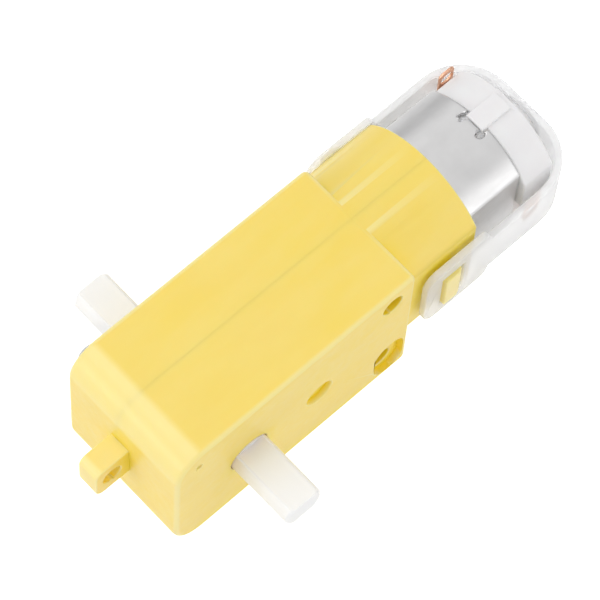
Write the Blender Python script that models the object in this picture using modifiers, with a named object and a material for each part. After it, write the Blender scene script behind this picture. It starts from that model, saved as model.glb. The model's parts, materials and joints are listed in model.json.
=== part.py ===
"""Dual-shaft geared dc motor: two-shell gearbox, 48:1 crown and spur train, 130-size motor, clear strap.

Every dimension below is in millimetres in the working frame: X runs from the gearbox's front face towards
the motor, Y across the gearbox with the parting plane at zero, Z up from the underside. put() turns them
into metres with the origin at the bottom centre of the whole object's box.
"""

import math

import bmesh
import bpy
from mathutils import Matrix, Vector

MM = 0.001
FRAME_X = 30.2
FRAME_Y = -1.2

# Gearbox outer form.
BODY_LENGTH = 37.0
LEFT_REACH = 8.4
RIGHT_REACH = 10.4
BODY_HEIGHT = 22.4
FRONT_RADIUS = 4.3
REAR_RADIUS = 0.8
SIDE_FILLET = 0.7
WALL = 1.5
SEAM = 0.02
AXIS_Z = BODY_HEIGHT / 2

# Gearbox rear: mounting holes, channel for the motor pinion, bulkhead and neck.
CAVITY_REAR = 30.6
CHANNEL_HALF_HEIGHT = 3.4
BULKHEAD_X = 35.5
BOSS_HOLE_RADIUS = 3.2
HOLE_X = 33.4
HOLE_RADIUS = 1.5
UPPER_HOLE_Z = 19.4
LOWER_HOLE_Z = 3.0
LOWER_RECESS_X = 33.9
LOWER_RECESS_TOP = 5.45
LOWER_RECESS_RADIUS = 2.3
LOWER_RECESS_DEPTH = 0.95
NECK_END = 48.3
NECK_RADIUS = 11.17
NECK_FLAT = 9.05
NECK_BORE = 10.12
NECK_BORE_FLAT = 7.7

# Strap hooks, front tab, axle pocket and locating peg.
HOOK_FRONT = 42.0
HOOK_REAR = 44.9
HOOK_HALF_HEIGHT = 3.1
HOOK_FACE = 11.0
HOOK_RAMP = 0.9
TAB_LENGTH = 5.0
TAB_SIDES = (-2.25, 0.85)
TAB_LEVELS = (9.1, 14.9)
TAB_HOLE_RADIUS = 1.35
TAB_GAP = 0.03
TAB_CORNER = 1.2
TAB_HOLE_X = -2.6
POCKET_RADIUS = 1.95
POCKET_DEPTH = 0.8
PEG_RADIUS = 2.0
PEG_LENGTH = 2.0
AXLE_BOSS_RADIUS = 2.2
AXLE_BOSS_FACE = 8.35

# Self-tapping screws that hold the two shells.
SCREW_X = 3.4
SCREW_Z_OFFSET = 8.1
SCREW_SHANK_RADIUS = 0.9
SCREW_HEAD_RADIUS = 1.7
SCREW_HEAD_HEIGHT = 1.2
SCREW_TIP = -8.0
SCREW_BOSS_RADIUS = 2.0
SCREW_HOLE_CLEARANCE = 0.06
SCREW_SEAT_DEPTH = 0.6
SCREW_SEAT_SLACK = 0.15
SCREW_POINT = (0.5, 1.5)
SCREW_POINT_RADIUS = 0.45
SCREW_CROWN_RADIUS = 1.2
SCREW_SLOT = (2.0, 0.4)
SCREW_SLOT_RISE = 0.5
PILOT_SPOT_RADIUS = 0.45

# Gear train on two parallel axes, each spur stage on the same centre distance.
OUTPUT_X = 11.3
AXLE_X = 22.3
CENTRES = AXLE_X - OUTPUT_X
MODULE = 0.5
LAST_MODULE = 2 * CENTRES / (10 + 28)
PRESSURE_ANGLE = math.radians(20)
TOOTH_BACKLASH = 0.12
DEDENDUM = 1.25
PINION_ADDENDUM = 0.9
WHEEL_ADDENDUM = 0.8
AXLE_RADIUS = 1.0
AXLE_ENDS = (-9.2, 8.8)
GEAR_BORE = 1.08
OVERLAP = 0.3
PRESS_GAP = 0.03
THROUGH = (-12, 12)

CROWN_TEETH = 24
CROWN_PINION_TEETH = 12
CROWN_FLOOR = -4.2
CROWN_FACE = -2.85
CROWN_TIP = -1.65
CROWN_INNER = 5.4
CROWN_OUTER = 7.2
CROWN_HUB_RADIUS = 2.3
CROWN_END = -8.2
CROWN_TOOTH_ROOT = 0.86
CROWN_TOOTH_TIP = 0.3

SECOND_WHEEL_TEETH = 32
SECOND_PINION_TEETH = 14
SECOND_WHEEL = (-7.6, -4.6)
SECOND_HUB_END = -8.3
SECOND_PINION = (2.7, 4.5)
SECOND_SLEEVE_RADIUS = 2.9
SECOND_BORE = 2.13

THIRD_WHEEL_TEETH = 30
THIRD_PINION_TEETH = 10
THIRD_WHEEL = (2.8, 4.4)
THIRD_PINION_END = 6.7

OUTPUT_TEETH = 28
OUTPUT_WHEEL = (4.7, 6.6)
JOURNAL_RADIUS = 2.05
SHAFT_RADIUS = 2.7
SHAFT_FLAT = 1.85
LEFT_TIP = 17.3
RIGHT_TIP = 19.7
SHAFT_ROUND_BEYOND = 0.05
SHAFT_CHAMFER = 0.3
SHAFT_CLEARANCE = 0.1
SPIGOT_RADIUS = 1.45
SPIGOT_END = -11.5
STUB_END = -8.4

SPACER_RADIUS = 1.9
SPACER = (-1.5, 2.7)
CROWN_HUB_END = -1.6

# 130-size motor.
CAN_RADIUS = 10.0
CAN_FLAT = 7.55
CAN_FRONT = 37.3
CAN_REAR = 56.9
CAN_SHEET = 0.8
CAN_BOSS_RADIUS = 3.0
CAN_BOSS_FRONT = 35.9
RELIEF_X = 55.7
RELIEF_Y = 1.45
RELIEF_RADIUS = 0.55
RELIEF_INNER = 6.0
NOTCH_HALF_WIDTH = 1.75
CRIMP_X = (55.3, 56.05)
CRIMP_DEPTHS = (0.15, 0.75)
CRIMP_HALF_WIDTH = 1.1
BUSH_RADIUS = 2.0
BUSH_BORE = 1.04
FRONT_BUSH = (36.0, 38.9)
REAR_BUSH = (60.6, 62.9)
MOTOR_SHAFT_RADIUS = 1.0
MOTOR_SHAFT = (26.9, 62.6)
PINION_TEETH = 8
PINION = (27.3, 31.4)
CORE = (43.0, 51.0)
CORE_RADIUS = 6.7
CORE_SHOE_INNER = 5.6
CORE_SHOE_HALF_ANGLE = math.radians(50)
CORE_NECK_HALF = 1.1
CORE_HUB_RADIUS = 2.2
COIL_RADIAL = (2.35, 4.65)
COIL_HALF_WIDTH = 2.6
COIL_OVERHANG = 1.6
COIL_GAP = 0.05
COIL_CORNER = 1.2
MAGNET_RADII = (7.1, 9.1)
MAGNET_HALF_ANGLE = math.radians(44)
MAGNET = (41.0, 53.5)
COMMUTATOR = (52.9, 56.2)
COMMUTATOR_HUB_RADIUS = 1.45
SEGMENT = (53.2, 55.9)
SEGMENT_RADII = (1.5, 1.9)
SEGMENT_HALF_ANGLE = math.radians(54)
WASHER_RADIUS = 1.9
FRONT_WASHER = (39.0, 39.4)
REAR_WASHER = (60.1, 60.5)

# Motor endbell, brushes and terminals.
ENDBELL_FRONT = 53.8
ENDBELL_REAR = 61.6
ENDBELL_PLUG_RADIUS = 9.14
ENDBELL_PLUG_FLAT = 6.7
ENDBELL_RADIUS = 9.55
ENDBELL_FLAT = 7.3
ENDBELL_FLOOR = 60.4
ENDBELL_HOLLOW_RADIUS = 7.9
ENDBELL_HOLLOW_FLAT = 5.6
ENDBELL_BOSS_RADIUS = 3.2
ENDBELL_BOSS_REAR = 65.2
ENDBELL_BUSH_HOLE = (58.0, 64.0)
ENDBELL_KEY = (56.15, 60.9)
ENDBELL_KEY_HALF_WIDTH = 1.4
ENDBELL_KEY_RADIUS = 9.95
ENDBELL_SHOULDER = 8.45
ENDBELL_SHOULDER_LEVEL = 0.9
ENDBELL_SLOT_START = 4.5
TERMINAL_SHEET = 0.3
TERMINAL_X = (58.4, 60.8)
TERMINAL_Y = 8.0
TERMINAL_REACH = 7.3
TERMINAL_EYE_BACK = 1.65
TERMINAL_EYE_RADIUS = 0.95
TERMINAL_CORNER = 0.7
TERMINAL_ARM_INSET = 0.05
SLOT_SLACK = 0.06
TERMINAL_ARM_HALF_HEIGHT = 0.9
TERMINAL_ARM_PATH = ((59.6, 8.0), (59.6, 5.0), (57.0, 3.2), (53.9, 2.8))
BRUSH_X = (53.9, 55.5)
BRUSH_Y = (1.95, 2.6)
BRUSH_HALF_HEIGHT = 0.7

# Clear retaining strap.
STRAP_FACE = 10.55
STRAP_SHEET = 1.0
STRAP_HALF_HEIGHT = 3.8
STRAP_HEAD_HALF_HEIGHT = 5.4
STRAP_HEAD_END = 49.4
STRAP_FRONT = 39.2
STRAP_REAR = 65.4
STRAP_BEND = 7.1
STRAP_CORNER = 2.2
STRAP_WINDOW = (41.75, 45.35)
STRAP_WINDOW_HALF_HEIGHT = 3.35
STRAP_HOLE_RADIUS = 3.35
STRAP_STEP = 0.5
STRAP_ACROSS = 13.0

ROUND_STEPS = 48
SMALL_STEPS = 24
FINE_STEPS = 72
HOLE_STEPS = 32
TINY_STEPS = 20
ARC_STEPS = 6

COLOURS = {
    "yellow_abs": (0.93, 0.70, 0.16, 1.0),
    "white_nylon": (0.86, 0.86, 0.85, 1.0),
    "steel": (0.62, 0.63, 0.65, 1.0),
    "plated_steel": (0.68, 0.67, 0.67, 1.0),
    "bronze": (0.55, 0.36, 0.16, 1.0),
    "copper": (0.78, 0.36, 0.16, 1.0),
    "enamelled_wire": (0.62, 0.24, 0.08, 1.0),
    "laminated_steel": (0.36, 0.37, 0.39, 1.0),
    "ferrite": (0.08, 0.08, 0.09, 1.0),
    "black_resin": (0.05, 0.05, 0.05, 1.0),
    "carbon": (0.10, 0.10, 0.11, 1.0),
    "fibre": (0.45, 0.30, 0.17, 1.0),
    "clear_plastic": (0.90, 0.91, 0.92, 1.0),
}

for leftover in list(bpy.data.objects):
    bpy.data.objects.remove(leftover, do_unlink=True)

SHOWN = bpy.data.collections.new("geared_dc_motor")
bpy.context.scene.collection.children.link(SHOWN)
TOOLS = bpy.data.collections.new("cutters")
TOOLS.hide_render = True
bpy.context.scene.collection.children.link(TOOLS)


def material(name):
    """The named material, made on first use."""
    found = bpy.data.materials.get(name)
    if found:
        return found
    made = bpy.data.materials.new(name)
    made.use_nodes = True
    shader = made.node_tree.nodes["Principled BSDF"]
    shader.inputs["Base Color"].default_value = COLOURS[name]
    metal = name in ("steel", "plated_steel", "bronze", "copper", "laminated_steel")
    shader.inputs["Metallic"].default_value = 1.0 if metal else 0.0
    shader.inputs["Roughness"].default_value = 0.35
    return made


def put(x, y, z):
    """A point of the working frame in metres."""
    return Vector(((x - FRAME_X) * MM, (y - FRAME_Y) * MM, z * MM))


AXES = {
    "X": Matrix(((0, 0, 1), (1, 0, 0), (0, 1, 0))).to_4x4(),
    "Y": Matrix(((1, 0, 0), (0, 0, 1), (0, -1, 0))).to_4x4(),
    "Z": Matrix.Identity(4),
}


def held(name, mesh, colour=None):
    """An object of the mesh: a shown piece when a colour is given, else a cutter or a shape to join."""
    obj = bpy.data.objects.new(name, mesh)
    if colour:
        mesh.materials.append(material(colour))
        SHOWN.objects.link(obj)
    else:
        obj.hide_render = True
        obj.display_type = "WIRE"
        TOOLS.objects.link(obj)
    return obj


def mesh_of(name, shape, axis="Z", centre=(FRAME_X, 0, 0)):
    """A mesh from the bmesh, its local Z laid along the axis and its millimetres moved to the centre."""
    scale = Matrix.Scale(MM, 4)
    bmesh.ops.transform(shape, matrix=Matrix.Translation(put(*centre)) @ AXES[axis] @ scale, verts=shape.verts)
    bmesh.ops.recalc_face_normals(shape, faces=shape.faces)
    mesh = bpy.data.meshes.new(name)
    shape.to_mesh(mesh)
    shape.free()
    return mesh


def box(name, xs, ys, zs, colour=None, rounded=()):
    """A block between the pairs of limits. rounded lists (test of an edge's middle, radius, steps)."""
    shape = bmesh.new()
    bmesh.ops.create_cube(shape, size=1.0)
    size = Matrix.Diagonal((xs[1] - xs[0], ys[1] - ys[0], zs[1] - zs[0], 1))
    middle = Vector(((xs[0] + xs[1]) / 2, (ys[0] + ys[1]) / 2, (zs[0] + zs[1]) / 2))
    bmesh.ops.transform(shape, matrix=Matrix.Translation(middle) @ size, verts=shape.verts)
    for test, radius, steps in rounded:
        chosen = [edge for edge in shape.edges if test(edge)]
        bmesh.ops.bevel(shape, geom=chosen, offset=radius, segments=steps, profile=0.5, affect="EDGES")
    return held(name, mesh_of(name, shape, "Z", (0, 0, 0)), colour)


def along(edge, axis):
    """Whether the edge runs along the axis, 0 to 2."""
    run = edge.verts[1].co - edge.verts[0].co
    return abs(run[axis]) > 0.999 * run.length


def both(edge, axis, value):
    """Whether both ends of the edge lie at the value on the axis."""
    return all(abs(vert.co[axis] - value) < 1e-3 for vert in edge.verts)


def rod(name, axis, centre, radius, ends, colour=None, steps=ROUND_STEPS):
    """A cylinder along the axis between two stations on it."""
    shape = bmesh.new()
    bmesh.ops.create_cone(
        shape, cap_ends=True, segments=steps, radius1=radius, radius2=radius, depth=ends[1] - ends[0]
    )
    bmesh.ops.translate(shape, vec=(0, 0, (ends[0] + ends[1]) / 2), verts=shape.verts)
    return held(name, mesh_of(name, shape, axis, centre), colour)


def turned(name, axis, centre, profile, colour=None, steps=ROUND_STEPS):
    """A solid of revolution: the closed profile of (radius, station) points swept by a Screw modifier."""
    shape = bmesh.new()
    verts = [shape.verts.new((radius, 0, station)) for radius, station in profile]
    for first, second in zip(verts, verts[1:] + verts[:1]):
        if first.co.x > 0 or second.co.x > 0:
            shape.edges.new((first, second))
    bmesh.ops.scale(shape, vec=(MM, MM, MM), verts=shape.verts)
    mesh = bpy.data.meshes.new(name)
    shape.to_mesh(mesh)
    shape.free()
    swept = bpy.data.objects.new(name + "_profile", mesh)
    TOOLS.objects.link(swept)
    screw = swept.modifiers.new("turn", "SCREW")
    screw.steps = steps
    screw.render_steps = steps
    screw.use_merge_vertices = True
    screw.merge_threshold = 1e-6
    screw.use_normal_calculate = True
    made = solid_from(swept)
    shape = bmesh.new()
    shape.from_mesh(made)
    bmesh.ops.scale(shape, vec=(1 / MM, 1 / MM, 1 / MM), verts=shape.verts)
    return held(name, mesh_of(name, shape, axis, centre), colour)


def solid_from(source):
    """The evaluated mesh of a helper object, with coincident points welded and the helper removed."""
    bpy.context.view_layer.update()
    graph = bpy.context.evaluated_depsgraph_get()
    made = bpy.data.meshes.new_from_object(source.evaluated_get(graph), depsgraph=graph)
    bpy.data.objects.remove(source, do_unlink=True)
    shape = bmesh.new()
    shape.from_mesh(made)
    bmesh.ops.remove_doubles(shape, verts=shape.verts, dist=1e-7)
    shape.to_mesh(made)
    shape.free()
    return made


def plate(name, axis, centre, outline, ends, colour=None):
    """A flat outline filled and extruded along the axis between two stations."""
    curve = bpy.data.curves.new(name, "CURVE")
    curve.dimensions = "2D"
    curve.fill_mode = "BOTH"
    curve.extrude = (ends[1] - ends[0]) / 2 * MM
    line = curve.splines.new("POLY")
    line.points.add(len(outline) - 1)
    for point, (across, up) in zip(line.points, outline):
        point.co = (across * MM, up * MM, 0, 1)
    line.use_cyclic_u = True
    helper = bpy.data.objects.new(name + "_outline", curve)
    TOOLS.objects.link(helper)
    made = solid_from(helper)
    shape = bmesh.new()
    shape.from_mesh(made)
    bmesh.ops.scale(shape, vec=(1 / MM, 1 / MM, 1 / MM), verts=shape.verts)
    bmesh.ops.translate(shape, vec=(0, 0, (ends[0] + ends[1]) / 2), verts=shape.verts)
    return held(name, mesh_of(name, shape, axis, centre), colour)


def boolean(target, tool, operation):
    """Adds one EXACT Boolean to the target."""
    step = target.modifiers.new(tool.name, "BOOLEAN")
    step.operation = operation
    step.solver = "EXACT"
    step.object = tool


def cut(target, *tools):
    """Takes the tools away from the target."""
    for tool in tools:
        boolean(target, tool, "DIFFERENCE")


def join(target, *tools):
    """Adds the tools to the target."""
    for tool in tools:
        boolean(target, tool, "UNION")


def keep(target, *tools):
    """Keeps what the target shares with each tool."""
    for tool in tools:
        boolean(target, tool, "INTERSECT")


def pivot(obj, x, y, z):
    """Moves the object's origin to a point of the working frame, its shape staying in place."""
    point = put(x, y, z)
    obj.data.transform(Matrix.Translation(-point))
    obj.location = point


def arc(middle, radius, start, end, steps=ARC_STEPS):
    """Points on a circular arc between two angles in degrees."""
    angles = [math.radians(start + (end - start) * step / steps) for step in range(steps + 1)]
    return [(middle[0] + radius * math.cos(a), middle[1] + radius * math.sin(a)) for a in angles]


def involute(angle):
    return math.tan(angle) - angle


def gear_outline(teeth, module, addendum, tooth_at):
    """Outline of a spur gear with involute flanks, one tooth centred on the direction tooth_at."""
    pitch = module * teeth / 2
    base = pitch * math.cos(PRESSURE_ANGLE)
    root = pitch - DEDENDUM * module
    tip = pitch + addendum * module
    half = math.pi / (2 * teeth) - TOOTH_BACKLASH / (2 * pitch) + involute(PRESSURE_ANGLE)
    flank = [(root, half)] if root >= base else [(root, half * 0.93), (base, half)]
    for share in (0.5, 1.0):
        radius = max(base, root) + (tip - max(base, root)) * share
        flank.append((radius, half - involute(math.acos(min(1.0, base / radius)))))
    points = []
    for tooth in range(teeth):
        middle = tooth_at + 2 * math.pi * tooth / teeth
        for radius, spread in flank:
            points.append((radius * math.cos(middle - spread), radius * math.sin(middle - spread)))
        for radius, spread in reversed(flank):
            points.append((radius * math.cos(middle + spread), radius * math.sin(middle + spread)))
    return points


def flats(name, half, ends, axis, centre_z=AXIS_Z):
    """A block that keeps what lies within half of the middle plane on each side."""
    if axis == "X":
        return box(name, ends, (-half, half), (centre_z - 20, centre_z + 20))
    return box(name, (OUTPUT_X - 20, OUTPUT_X + 20), ends, (centre_z - half, centre_z + half))


def obround(name, x, levels, radius):
    """An upright round-ended cutter for the right side face."""
    ends = (THROUGH[0], LOWER_RECESS_DEPTH - RIGHT_REACH)
    outline = arc((x, AXIS_Z - levels[0]), radius, 0, 180, 14)
    outline += arc((x, AXIS_Z - levels[1]), radius, 180, 360, 14)
    return plate(name, "Y", (0, 0, AXIS_Z), outline, ends)


# Gearbox shells.


def shell(name, side):
    """One shell of the gearbox with its half of the neck. side is 1 for the left shell and -1 for the right."""
    reach = LEFT_REACH if side > 0 else RIGHT_REACH

    def span(inner, outer):
        return (side * inner, side * outer) if side > 0 else (side * outer, side * inner)

    def front(edge):
        return along(edge, 1) and both(edge, 0, 0)

    def rear(edge):
        return along(edge, 1) and both(edge, 0, BODY_LENGTH)

    def rim(edge):
        return both(edge, 1, side * reach)

    body = box(
        name,
        (0, BODY_LENGTH),
        span(-1, reach),
        (0, BODY_HEIGHT),
        "yellow_abs",
        ((front, FRONT_RADIUS, 8), (rear, REAR_RADIUS, 2), (rim, SIDE_FILLET, 3)),
    )
    neck = rod(
        name + "_neck",
        "X",
        (0, 0, AXIS_Z),
        NECK_RADIUS,
        (BODY_LENGTH - 1, NECK_END),
        steps=FINE_STEPS,
    )
    keep(neck, box(name + "_neck_side", (30, 50), span(-1.5, NECK_FLAT), (-1, BODY_HEIGHT + 1)))
    join(body, neck)

    def ramp(edge):
        return along(edge, 2) and both(edge, 0, HOOK_REAR) and both(edge, 1, side * HOOK_FACE)

    join(
        body,
        box(
            name + "_hook",
            (HOOK_FRONT, HOOK_REAR),
            span(NECK_BORE_FLAT + 0.5, HOOK_FACE),
            (AXIS_Z - HOOK_HALF_HEIGHT, AXIS_Z + HOOK_HALF_HEIGHT),
            rounded=((ramp, HOOK_RAMP, 2),),
        ),
    )

    def cavity_corner(edge):
        return along(edge, 1) and both(edge, 0, WALL)

    inner = reach - WALL
    cut(
        body,
        box(
            name + "_cavity",
            (WALL, CAVITY_REAR),
            span(-2, inner),
            (WALL, BODY_HEIGHT - WALL),
            rounded=((cavity_corner, FRONT_RADIUS - WALL, 5),),
        ),
        box(
            name + "_channel",
            (CAVITY_REAR - 1, BULKHEAD_X),
            span(-2, inner),
            (AXIS_Z - CHANNEL_HALF_HEIGHT, AXIS_Z + CHANNEL_HALF_HEIGHT),
        ),
        rod(
            name + "_motor_boss",
            "X",
            (0, 0, AXIS_Z),
            BOSS_HOLE_RADIUS,
            (BULKHEAD_X - 1, BODY_LENGTH + 1),
            steps=HOLE_STEPS,
        ),
    )
    bore = rod(name + "_bore", "X", (0, 0, AXIS_Z), NECK_BORE, (BODY_LENGTH, NECK_END + 1), steps=FINE_STEPS)
    keep(bore, box(name + "_bore_flat", (BODY_LENGTH - 0.1, 50), span(-2, NECK_BORE_FLAT), (-1, 24)))
    cut(body, bore)
    for level in (-1, 1):
        z = AXIS_Z + level * SCREW_Z_OFFSET
        join(
            body,
            rod(
                f"{name}_boss{level}",
                "Y",
                (SCREW_X, 0, z),
                SCREW_BOSS_RADIUS,
                span(-0.7, inner + 0.5),
                steps=SMALL_STEPS,
            ),
        )
    cut(body, box(name + "_parting", (-1, NECK_END + 1), span(-3, SEAM), (-1, BODY_HEIGHT + 1)))
    return body


def screw_hole(body, side):
    for level in (-1, 1):
        z = AXIS_Z + level * SCREW_Z_OFFSET
        hole = rod(
            f"{body.name}_screw_hole{level}",
            "Y",
            (SCREW_X, 0, z),
            SCREW_SHANK_RADIUS + SCREW_HOLE_CLEARANCE,
            (-1, LEFT_REACH + 1) if side > 0 else (SCREW_TIP - 0.3, 1),
            steps=TINY_STEPS,
        )
        cut(body, hole)


def shaft_hole(body, side):
    ends = (0.5, LEFT_REACH + 1) if side > 0 else (-RIGHT_REACH - 1, -0.5)
    cut(body, rod(
        body.name + "_shaft_hole",
        "Y",
        (OUTPUT_X, 0, AXIS_Z),
        SHAFT_RADIUS + SHAFT_CLEARANCE,
        ends),
    )


def mounting_holes(body):
    for label, z in (("upper", UPPER_HOLE_Z), ("lower", LOWER_HOLE_Z)):
        cut(body, rod(
            f"{body.name}_{label}_hole",
            "Y",
            (HOLE_X, 0, z),
            HOLE_RADIUS,
            THROUGH,
            steps=HOLE_STEPS),
        )


left = shell("housing_left_shell", 1)
right = shell("housing_right_shell", -1)

right_inner = WALL - RIGHT_REACH
left_inner = LEFT_REACH - WALL
join(
    right,
    rod(
        "right_axle_boss",
        "Y",
        (AXLE_X, 0, AXIS_Z),
        AXLE_BOSS_RADIUS,
        (right_inner - 0.5, -AXLE_BOSS_FACE),
        steps=HOLE_STEPS,
    ),
)
join(
    left,
    rod(
        "locating_peg",
        "Y",
        (AXLE_X, 0, AXIS_Z),
        PEG_RADIUS,
        (left_inner + 0.3, LEFT_REACH + PEG_LENGTH),
        steps=HOLE_STEPS,
    ),
)
for shell_body, direction in ((left, 1), (right, -1)):
    screw_hole(shell_body, direction)
    shaft_hole(shell_body, direction)
    mounting_holes(shell_body)
axle_hole = AXLE_RADIUS + PRESS_GAP
cut(
    left,
    rod(
        "left_axle_hole",
        "Y",
        (AXLE_X, 0, AXIS_Z),
        axle_hole,
        (left_inner - 1, AXLE_ENDS[1] + 0.1),
        steps=SMALL_STEPS,
    ),
)
cut(
    right,
    rod(
        "right_axle_hole",
        "Y",
        (AXLE_X, 0, AXIS_Z),
        axle_hole,
        (AXLE_ENDS[0] - 0.05, -7.5),
        steps=SMALL_STEPS,
    ),
    rod(
        "axle_pocket",
        "Y",
        (AXLE_X, 0, AXIS_Z),
        POCKET_RADIUS,
        (THROUGH[0], POCKET_DEPTH - RIGHT_REACH),
        steps=HOLE_STEPS,
    ),
    obround("lower_recess", LOWER_RECESS_X, (LOWER_HOLE_Z, LOWER_RECESS_TOP), LOWER_RECESS_RADIUS),
    rod(
        "pilot_spot",
        "Y",
        (SCREW_X, 0, AXIS_Z + SCREW_Z_OFFSET),
        PILOT_SPOT_RADIUS,
        (THROUGH[0], SCREW_TIP),
        steps=TINY_STEPS,
    ),
)
for spot in (-1, 1):
    seat = rod(
        f"screw_seat{spot}",
        "Y",
        (SCREW_X, 0, AXIS_Z + spot * SCREW_Z_OFFSET),
        SCREW_HEAD_RADIUS + SCREW_SEAT_SLACK,
        (LEFT_REACH - SCREW_SEAT_DEPTH, THROUGH[1]),
        steps=SMALL_STEPS,
    )
    cut(left, seat)


def tab_tip(edge):
    return along(edge, 1) and both(edge, 0, -TAB_LENGTH)


tab = box(
    "front_tab",
    (-TAB_LENGTH, -TAB_GAP),
    TAB_SIDES,
    TAB_LEVELS,
    rounded=((tab_tip, TAB_CORNER, 4),),
)
tab_root = box(
    "front_tab_root",
    (-1.5, WALL - 0.3),
    (SEAM, TAB_SIDES[1] - 0.01),
    (TAB_LEVELS[0] + 0.01, TAB_LEVELS[1] - 0.01),
)
join(left, tab, tab_root)
cut(left, rod(
    "tab_hole",
    "Y",
    (TAB_HOLE_X, 0, sum(TAB_LEVELS) / 2),
    TAB_HOLE_RADIUS,
    THROUGH,
    steps=SMALL_STEPS),
)

# Screws, their heads seated in the left shell.


def housing_screw(name, level):
    head = LEFT_REACH - SCREW_SEAT_DEPTH + 0.05
    profile = [
        (0, SCREW_TIP),
        (SCREW_POINT_RADIUS, SCREW_TIP + SCREW_POINT[0]),
        (SCREW_SHANK_RADIUS, SCREW_TIP + SCREW_POINT[1]),
    ]
    profile += [(SCREW_SHANK_RADIUS, head), (SCREW_HEAD_RADIUS, head)]
    profile += [
        (SCREW_HEAD_RADIUS, head + 0.5 * SCREW_HEAD_HEIGHT),
        (SCREW_CROWN_RADIUS, head + 0.9 * SCREW_HEAD_HEIGHT),
    ]
    profile += [(0, head + SCREW_HEAD_HEIGHT)]
    screw = turned(name, "Y", (SCREW_X, 0, AXIS_Z + level * SCREW_Z_OFFSET), profile, "steel", SMALL_STEPS)
    for turn, (across, up) in enumerate((SCREW_SLOT, SCREW_SLOT[::-1])):
        slot = box(
            f"{name}_slot{turn}",
            (SCREW_X - across / 2, SCREW_X + across / 2),
            (head + SCREW_SLOT_RISE, THROUGH[1]),
            (AXIS_Z + level * SCREW_Z_OFFSET - up / 2, AXIS_Z + level * SCREW_Z_OFFSET + up / 2),
        )
        cut(screw, slot)


housing_screw("housing_screw_upper", 1)
housing_screw("housing_screw_lower", -1)

# Gear axle and its spacer.
rod("gear_axle_pin", "Y", (AXLE_X, 0, AXIS_Z), AXLE_RADIUS, AXLE_ENDS, "steel", SMALL_STEPS)
spacer_profile = [
    (GEAR_BORE, SPACER[0]),
    (SPACER_RADIUS, SPACER[0]),
    (SPACER_RADIUS, SPACER[1]),
    (GEAR_BORE, SPACER[1]),
]
turned("axle_spacer", "Y", (AXLE_X, 0, AXIS_Z), spacer_profile, "white_nylon", SMALL_STEPS)


def spur(name, x, teeth, module, addendum, tooth_at, ends, colour=None):
    return plate(name, "Y", (x, 0, AXIS_Z), gear_outline(teeth, module, addendum, tooth_at), ends, colour)


def crown_teeth():
    """Radial teeth standing on the crown's face, one space centred on the direction of the motor."""
    shape = bmesh.new()
    base = CROWN_FACE - OVERLAP
    for tooth in range(CROWN_TEETH):
        turn = Matrix.Rotation(2 * math.pi * (tooth + 0.5) / CROWN_TEETH, 3, "Z")
        rings = []
        for radius in (CROWN_INNER, CROWN_OUTER):
            corners = (
                (-CROWN_TOOTH_ROOT / 2, base),
                (CROWN_TOOTH_ROOT / 2, base),
                (CROWN_TOOTH_ROOT / 2, CROWN_FACE),
                (CROWN_TOOTH_TIP / 2, CROWN_TIP),
                (-CROWN_TOOTH_TIP / 2, CROWN_TIP),
                (-CROWN_TOOTH_ROOT / 2, CROWN_FACE),
            )
            rings.append([shape.verts.new(turn @ Vector((radius, across, up))) for across, up in corners])
        inner, outer = rings
        shape.faces.new(inner)
        shape.faces.new(outer)
        for i in range(len(inner)):
            j = (i + 1) % len(inner)
            shape.faces.new((inner[i], inner[j], outer[j], outer[i]))
    return held("crown_teeth", mesh_of("crown_teeth", shape, "Y", (AXLE_X, 0, AXIS_Z)))


def bore(body, x, radius, ends=THROUGH, steps=SMALL_STEPS):
    cut(body, rod(body.name + "_bore", "Y", (x, 0, AXIS_Z), radius, ends, steps=steps))


# Crown gear and its pinion, driven by the motor.
crown = rod(
    "crown_gear",
    "Y",
    (AXLE_X, 0, AXIS_Z),
    CROWN_OUTER,
    (CROWN_FLOOR, CROWN_FACE),
    "white_nylon",
    FINE_STEPS,
)
join(
    crown,
    crown_teeth(),
    rod(
        "crown_hub",
        "Y",
        (AXLE_X, 0, AXIS_Z),
        CROWN_HUB_RADIUS,
        (CROWN_FLOOR + OVERLAP, CROWN_HUB_END),
        steps=HOLE_STEPS,
    ),
    spur(
        "crown_pinion",
        AXLE_X,
        CROWN_PINION_TEETH,
        MODULE,
        PINION_ADDENDUM,
        math.pi,
        (CROWN_END, CROWN_FLOOR + OVERLAP),
    ),
)
bore(crown, AXLE_X, GEAR_BORE)
pivot(crown, AXLE_X, 0, AXIS_Z)

# Second compound gear, free on the output shaft.
second = spur(
    "second_gear",
    OUTPUT_X,
    SECOND_WHEEL_TEETH,
    MODULE,
    WHEEL_ADDENDUM,
    math.pi / SECOND_WHEEL_TEETH,
    SECOND_WHEEL,
    "white_nylon",
)
join(
    second,
    rod(
        "second_sleeve",
        "Y",
        (OUTPUT_X, 0, AXIS_Z),
        SECOND_SLEEVE_RADIUS,
        (SECOND_WHEEL[1] - OVERLAP, SECOND_PINION[0] + OVERLAP),
        steps=HOLE_STEPS,
    ),
    rod(
        "second_hub",
        "Y",
        (OUTPUT_X, 0, AXIS_Z),
        SECOND_SLEEVE_RADIUS,
        (SECOND_HUB_END, SECOND_WHEEL[0] + OVERLAP),
        steps=HOLE_STEPS,
    ),
    spur("second_pinion", OUTPUT_X, SECOND_PINION_TEETH, MODULE, PINION_ADDENDUM, 0, SECOND_PINION),
)
bore(second, OUTPUT_X, SECOND_BORE, steps=HOLE_STEPS)
pivot(second, OUTPUT_X, 0, AXIS_Z)

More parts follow.
